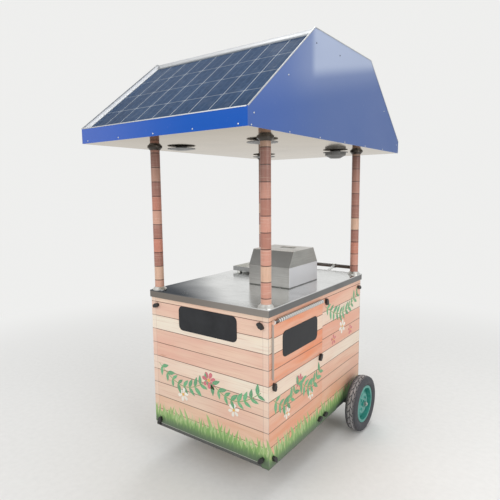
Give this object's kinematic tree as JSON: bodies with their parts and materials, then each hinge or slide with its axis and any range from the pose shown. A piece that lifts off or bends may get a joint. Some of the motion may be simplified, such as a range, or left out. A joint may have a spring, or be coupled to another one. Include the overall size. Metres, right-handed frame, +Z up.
{
  "type": "solar sugarcane juicer cart",
  "caption": "Push cart with a stainless counter, roller juicer, printed cabinet with a drop-leaf side table, and a hipped canopy of solar modules on posts.",
  "frame": {"origin": "on the floor, under the middle of the body and canopy", "axes": "+Z up; -Y is the front face; +Y the rear with the push handle; +X the side with the folding table"},
  "size_m": [1.0188, 1.6936, 2.2276],
  "materials": {
    "chassis_paint": "satin dark grey",
    "frame_paint": "satin grey",
    "plank_print": "satin printed film",
    "post_print": "satin printed film",
    "canopy_blue": "gloss blue",
    "ceiling_mirror": "polished",
    "stainless": "brushed",
    "plated_steel": "zinc plated",
    "polished_steel": "polished",
    "cast_aluminium": "cast",
    "module_frame": "anodised",
    "module_glass": "solar cells under glass",
    "plywood": "raw plywood",
    "screw_black": "matt black",
    "handle_paint": "gloss black brown",
    "tyre_rubber": "matt",
    "rim_paint": "gloss teal",
    "castor_rubber": "matt",
    "roller_steel": "machined",
    "plate_paint": "machine grey",
    "bushing_bronze": "bronze",
    "belt_rubber": "matt",
    "pulley_iron": "machined",
    "motor_paint": "hammered grey",
    "battery_case": "matt black",
    "controller_case": "anodised",
    "switch_grey": "matt grey",
    "rocker_red": "gloss red",
    "lamp_shell": "smoked diffuser"
  },
  "bodies": {
    "cart": {"chassis_frame": "chassis_paint", "cabinet_frame": "frame_paint", "cabinet_floor": "plywood", "counter_board": "plywood", "countertop": "stainless", "front_panel": "plank_print", "left_panel": "plank_print", "right_lower_panel": "plank_print", "right_upper_panel": "plank_print", "right_rear_panel": "plank_print", "rear_panel": "plank_print", "panel_screws": "screw_black", "post_front_right": "post_print", "post_front_left": "post_print", "post_rear_right": "post_print", "post_rear_left": "post_print", "post_flanges": "cast_aluminium", "canopy_frame": "frame_paint", "canopy_ends": "canopy_blue", "canopy_fascias": "canopy_blue", "ceiling_sheet": "ceiling_mirror", "solar_frames": "module_frame", "solar_glass": "module_glass", "ceiling_lamp": "lamp_shell", "rear_axle": "plated_steel", "axle_clamps": "chassis_paint", "castor_mounts": "plated_steel", "push_handle": "handle_paint", "handle_stays": "stainless", "table_hinge_rod": "polished_steel", "juicer_case": "stainless", "roller_plates": "plate_paint", "roller_bearings": "bushing_bronze", "guide_plate": "stainless", "drive_belt": "belt_rubber", "gear_motor": "motor_paint", "motor_mount": "frame_paint", "juice_tray": "stainless", "juice_can": "stainless", "bagasse_tray": "stainless", "batteries": "battery_case", "charge_controller": "controller_case", "switch_box": "switch_grey", "door_hinges": "plated_steel"},
    "wheel_right": {"tyre_right": "tyre_rubber", "rim_right": "rim_paint"},
    "wheel_left": {"tyre_left": "tyre_rubber", "rim_left": "rim_paint"},
    "castor_right": {"castor_fork_right": "plated_steel"},
    "castor_left": {"castor_fork_left": "plated_steel"},
    "castor_roll_right": {"castor_wheel_right": "castor_rubber"},
    "castor_roll_left": {"castor_wheel_left": "castor_rubber"},
    "table": {"side_table": "plank_print"},
    "hood": {"juicer_hood": "stainless"},
    "door": {"rear_door": "plank_print"},
    "main_shaft": {"main_roller": "roller_steel"},
    "feed_shaft": {"feed_roller": "roller_steel"},
    "discharge_shaft": {"discharge_roller": "roller_steel"},
    "motor_shaft": {"motor_pulley": "pulley_iron"},
    "rocker": {"power_rocker": "rocker_red"}
  },
  "joints": [
    {"name": "wheel_right_spin", "type": "hinge", "parent": "cart", "child": "wheel_right", "pos_m": [0.466, 0.396, 0.1725], "axis": [1, 0, 0], "continuous": true},
    {"name": "wheel_left_spin", "type": "hinge", "parent": "cart", "child": "wheel_left", "pos_m": [-0.466, 0.396, 0.1725], "axis": [1, 0, 0], "continuous": true},
    {"name": "castor_right_swivel", "type": "hinge", "parent": "cart", "child": "castor_right", "pos_m": [0.17, -0.25, 0.167], "axis": [0, 0, 1], "continuous": true},
    {"name": "castor_left_swivel", "type": "hinge", "parent": "cart", "child": "castor_left", "pos_m": [-0.17, -0.25, 0.167], "axis": [0, 0, 1], "continuous": true},
    {"name": "castor_right_roll", "type": "hinge", "parent": "castor_right", "child": "castor_roll_right", "pos_m": [0.17, -0.21, 0.075], "axis": [1, 0, 0], "continuous": true},
    {"name": "castor_left_roll", "type": "hinge", "parent": "castor_left", "child": "castor_roll_left", "pos_m": [-0.17, -0.21, 0.075], "axis": [1, 0, 0], "continuous": true},
    {"name": "table_fold", "type": "hinge", "parent": "cart", "child": "table", "pos_m": [0.4005, -0.252, 0.907], "axis": [0, -1, 0], "range_deg": [0, 90]},
    {"name": "hood_lift", "type": "hinge", "parent": "cart", "child": "hood", "pos_m": [0.1075, 0.219, 1.091], "axis": [-1, 0, 0], "range_deg": [0, 95]},
    {"name": "door_swing", "type": "hinge", "parent": "cart", "child": "door", "pos_m": [-0.286, 0.5464, 0.547], "axis": [0, 0, 1], "range_deg": [0, 110]},
    {"name": "main_roller_spin", "type": "hinge", "parent": "cart", "child": "main_shaft", "pos_m": [0.12, 0.06, 1.075], "axis": [1, 0, 0], "continuous": true},
    {"name": "feed_roller_spin", "type": "hinge", "parent": "cart", "child": "feed_shaft", "pos_m": [0.12, 0.00977, 1.104], "axis": [1, 0, 0], "continuous": true},
    {"name": "discharge_roller_spin", "type": "hinge", "parent": "cart", "child": "discharge_shaft", "pos_m": [0.12, 0.07501, 1.01898], "axis": [1, 0, 0], "continuous": true},
    {"name": "motor_shaft_spin", "type": "hinge", "parent": "cart", "child": "motor_shaft", "pos_m": [-0.008, 0.06, 0.845], "axis": [1, 0, 0], "continuous": true},
    {"name": "power_switch", "type": "hinge", "parent": "cart", "child": "rocker", "pos_m": [0.336, 0.578, 0.775], "axis": [1, 0, 0], "range_deg": [-10, 10]}
  ],
  "couplings": [
    {"joint": "feed_roller_spin", "follows": "main_roller_spin", "ratio": -1.32},
    {"joint": "discharge_roller_spin", "follows": "main_roller_spin", "ratio": -1.32},
    {"joint": "motor_shaft_spin", "follows": "main_roller_spin", "ratio": 2}
  ]
}
